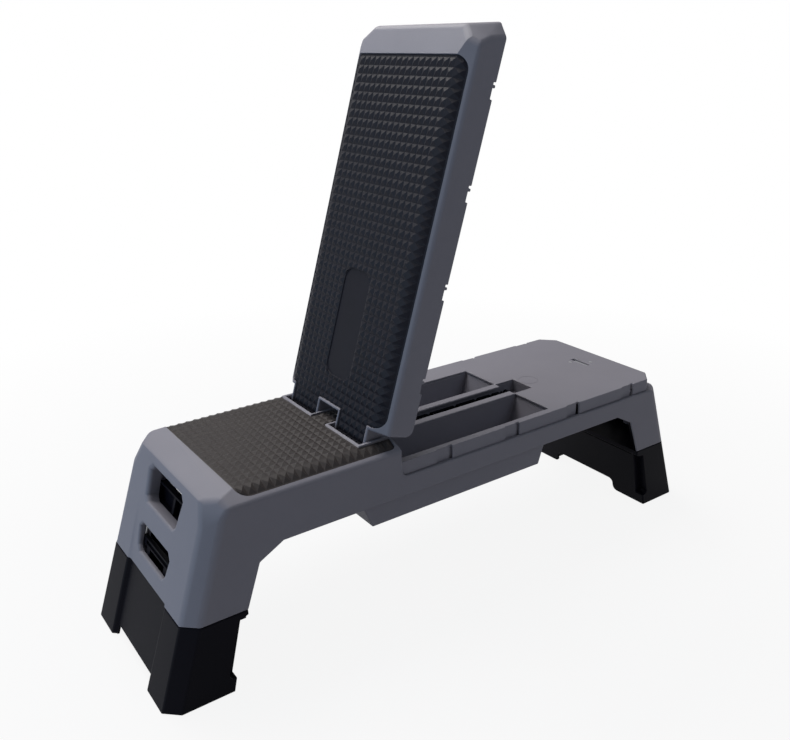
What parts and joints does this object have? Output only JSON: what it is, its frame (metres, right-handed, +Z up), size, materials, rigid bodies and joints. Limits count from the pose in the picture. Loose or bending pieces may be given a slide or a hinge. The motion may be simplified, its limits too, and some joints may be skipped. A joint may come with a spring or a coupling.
{
  "type": "folding weight bench",
  "caption": "Long moulded training step and weight bench with padded seat, hinged reclining backrest over storage pockets, and fold-under end legs.",
  "frame": {"origin": "on the floor, under the middle of the bench with its legs out", "axes": "+X along the bench from the seat end to the far end, +Y across it, +Z up"},
  "size_m": [1.1996, 0.342, 0.9781],
  "materials": {
    "grey_plastic": "injection-moulded, finely textured",
    "black_plastic": "injection-moulded, satin",
    "pad_rubber": "moulded with small raised pyramids",
    "foot_rubber": "plain moulded",
    "steel": "zinc plated"
  },
  "bodies": {
    "base": {"base_shell": "grey_plastic", "deck_tray": "grey_plastic", "storage_bin": "grey_plastic", "bin_screws": "steel", "seat_pad": "pad_rubber", "carry_grip": "black_plastic", "hinge_rod": "steel", "rack_insert": "black_plastic", "catch_plate": "steel", "catch_screws": "steel", "front_leg_pins": "steel", "rear_leg_pins": "steel", "front_latch_springs": "steel", "rear_latch_springs": "steel"},
    "backrest": {"backrest_shell": "grey_plastic", "backrest_pad": "pad_rubber", "hinge_bushes": "black_plastic", "strut_bracket": "steel", "bracket_screws": "steel", "strut_pin": "steel", "lid_catch": "black_plastic"},
    "strut": {"prop_strut": "black_plastic", "strut_foot_rod": "steel"},
    "front_leg": {"front_leg": "black_plastic", "front_leg_feet": "foot_rubber"},
    "rear_leg": {"rear_leg": "black_plastic", "rear_leg_feet": "foot_rubber"},
    "front_latch": {"front_leg_latch": "black_plastic"},
    "rear_latch": {"rear_leg_latch": "black_plastic"}
  },
  "joints": [
    {"name": "backrest_hinge", "type": "hinge", "parent": "base", "child": "backrest", "pos_m": [-0.19, 0, 0.3167], "axis": [0, -1, 0], "range_deg": [-73.7, 0]},
    {"name": "strut_pivot", "type": "hinge", "parent": "backrest", "child": "strut", "pos_m": [-0.1238, -0.02, 0.49321], "axis": [0, -1, 0], "range_deg": [0, 138.2]},
    {"name": "front_leg_fold", "type": "hinge", "parent": "base", "child": "front_leg", "pos_m": [-0.45, 0, 0.2095], "axis": [0, -1, 0], "range_deg": [0, 106.7]},
    {"name": "rear_leg_fold", "type": "hinge", "parent": "base", "child": "rear_leg", "pos_m": [0.45, 0, 0.2095], "axis": [0, 1, 0], "range_deg": [0, 106.7]},
    {"name": "front_latch_lift", "type": "slide", "parent": "base", "child": "front_latch", "axis": [0.3074, 0, 0.9516], "range_m": [0, 0.01], "stiffness_N_per_m": 300, "springref_m": -0.005, "deforming": ["front_latch_springs"]},
    {"name": "rear_latch_lift", "type": "slide", "parent": "base", "child": "rear_latch", "axis": [-0.3074, 0, 0.9516], "range_m": [0, 0.01], "stiffness_N_per_m": 300, "springref_m": -0.005, "deforming": ["rear_latch_springs"]}
  ],
  "couplings": [
    {"joint": "strut_pivot", "follows": "backrest_hinge", "ratio": -1.8741}
  ]
}
